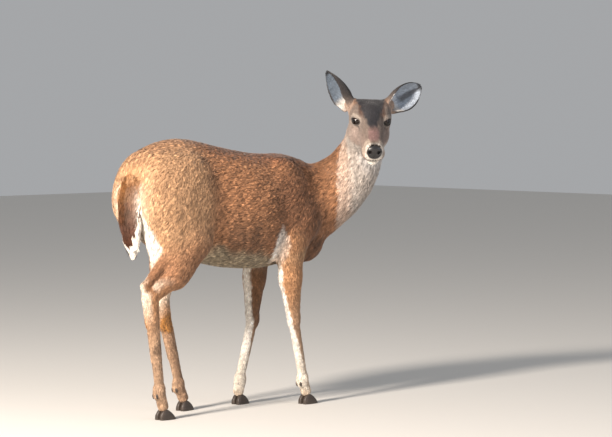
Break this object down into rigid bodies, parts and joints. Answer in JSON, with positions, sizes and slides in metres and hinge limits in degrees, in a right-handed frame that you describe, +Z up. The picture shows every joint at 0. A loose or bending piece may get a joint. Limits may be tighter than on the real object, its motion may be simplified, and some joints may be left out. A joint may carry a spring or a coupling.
{
  "type": "white-tailed deer",
  "caption": "Life-size standing doe in a summer coat, trunk side on, head turned back over the shoulder, ears apart, tail hanging, feet at staggered steps.",
  "frame": {"origin": "on the floor under the middle of the whole model's bounding box", "axes": "+X the way the trunk faces, +Y the doe's left, +Z up"},
  "size_m": [1.09, 0.4984, 1.1213],
  "materials": {
    "body_coat": "short tan-brown hair, darker along the back, pale on the throat and belly",
    "leg_coat": "short fawn hair, white on the inner sides",
    "face_coat": "very short grey-brown hair with white eye rings, muzzle band and chin",
    "ear_coat": "dark grey hair outside, long pale grey hair inside",
    "tail_hair": "long rusty brown hair with a white fringe and underside",
    "nose_leather": "moist black pebbled skin",
    "eye": "dark brown, wet gloss",
    "horn": "dark horn of the claws and dewclaws, satin"
  },
  "bodies": {
    "root": {"neck": "body_coat", "nose": "nose_leather", "eye_left": "eye", "ear_left": "ear_coat", "eye_right": "eye", "ear_right": "ear_coat", "head": "face_coat", "fore_claw_left_outer": "horn", "fore_dewclaw_left_outer": "horn", "fore_claw_left_inner": "horn", "fore_dewclaw_left_inner": "horn", "forearm_left": "leg_coat", "fore_cannon_left": "leg_coat", "fore_foot_left": "leg_coat", "hind_claw_left_outer": "horn", "hind_dewclaw_left_outer": "horn", "hind_claw_left_inner": "horn", "hind_dewclaw_left_inner": "horn", "gaskin_left": "leg_coat", "hind_cannon_left": "leg_coat", "hind_foot_left": "leg_coat", "fore_claw_right_outer": "horn", "fore_dewclaw_right_outer": "horn", "fore_claw_right_inner": "horn", "fore_dewclaw_right_inner": "horn", "forearm_right": "leg_coat", "fore_cannon_right": "leg_coat", "fore_foot_right": "leg_coat", "hind_claw_right_outer": "horn", "hind_dewclaw_right_outer": "horn", "hind_claw_right_inner": "horn", "hind_dewclaw_right_inner": "horn", "gaskin_right": "leg_coat", "hind_cannon_right": "leg_coat", "hind_foot_right": "leg_coat", "shoulders": "body_coat", "barrel": "body_coat", "haunches": "body_coat", "tail": "tail_hair"}
  },
  "joints": []
}
